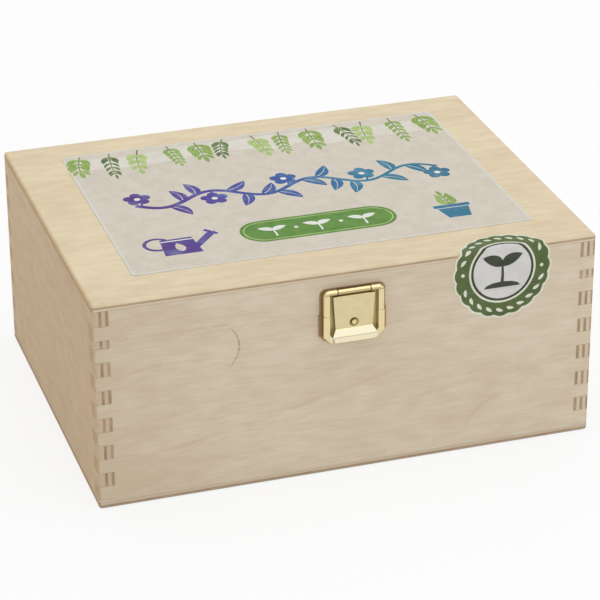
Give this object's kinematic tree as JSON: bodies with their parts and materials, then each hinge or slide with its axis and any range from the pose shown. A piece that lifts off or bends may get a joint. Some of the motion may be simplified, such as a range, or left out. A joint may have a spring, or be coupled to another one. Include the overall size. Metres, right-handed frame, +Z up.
{
  "type": "garden seed organizer box",
  "caption": "Finger-jointed plywood seed box with a hinged sawn-off lid, lapped dividers inside, rear butt hinges, a brass-plated flap latch, a lid label and a round seal.",
  "frame": {"origin": "middle of the wooden box's underside", "axes": "+X along the long side, to the right as seen from the latch; +Y from the latch to the hinges; +Z up through the lid"},
  "size_m": [0.24, 0.1896, 0.1035],
  "materials": {
    "birch_plywood": "sanded, unvarnished",
    "brass_plate": "bright plated",
    "spring_steel": "bare spring strip",
    "label_paper": "matt printed paper",
    "seal_paper": "satin printed paper"
  },
  "bodies": {
    "base": {"base_front_wall": "birch_plywood", "base_rear_wall": "birch_plywood", "base_left_wall": "birch_plywood", "base_right_wall": "birch_plywood", "bottom_panel": "birch_plywood", "centre_divider": "birch_plywood", "cross_divider_1": "birch_plywood", "cross_divider_2": "birch_plywood", "left_hinge_base_leaf": "brass_plate", "right_hinge_base_leaf": "brass_plate", "left_hinge_pin": "brass_plate", "right_hinge_pin": "brass_plate", "left_hinge_base_nail_1": "brass_plate", "left_hinge_base_nail_2": "brass_plate", "right_hinge_base_nail_1": "brass_plate", "right_hinge_base_nail_2": "brass_plate", "latch_keeper": "brass_plate", "left_keeper_nail": "brass_plate", "right_keeper_nail": "brass_plate", "base_seal": "seal_paper"},
    "lid": {"lid_front_wall": "birch_plywood", "lid_rear_wall": "birch_plywood", "lid_left_wall": "birch_plywood", "lid_right_wall": "birch_plywood", "lid_panel": "birch_plywood", "left_hinge_lid_leaf": "brass_plate", "right_hinge_lid_leaf": "brass_plate", "left_hinge_lid_nail_1": "brass_plate", "left_hinge_lid_nail_2": "brass_plate", "right_hinge_lid_nail_1": "brass_plate", "right_hinge_lid_nail_2": "brass_plate", "latch_plate": "brass_plate", "left_latch_plate_nail": "brass_plate", "right_latch_plate_nail": "brass_plate", "latch_pin": "brass_plate", "lid_label": "label_paper", "lid_seal": "seal_paper"},
    "flap": {"latch_flap": "brass_plate", "latch_spring": "spring_steel", "latch_rivet": "brass_plate"}
  },
  "joints": [
    {"name": "lid_hinge", "type": "hinge", "parent": "base", "child": "lid", "pos_m": [0, 0.0924, 0.0826], "axis": [-1, 0, 0], "range_deg": [0, 180]},
    {"name": "latch_flap_hinge", "type": "hinge", "parent": "lid", "child": "flap", "pos_m": [0.0008, -0.0931, 0.094], "axis": [-1, 0, 0], "range_deg": [0, 110]}
  ]
}
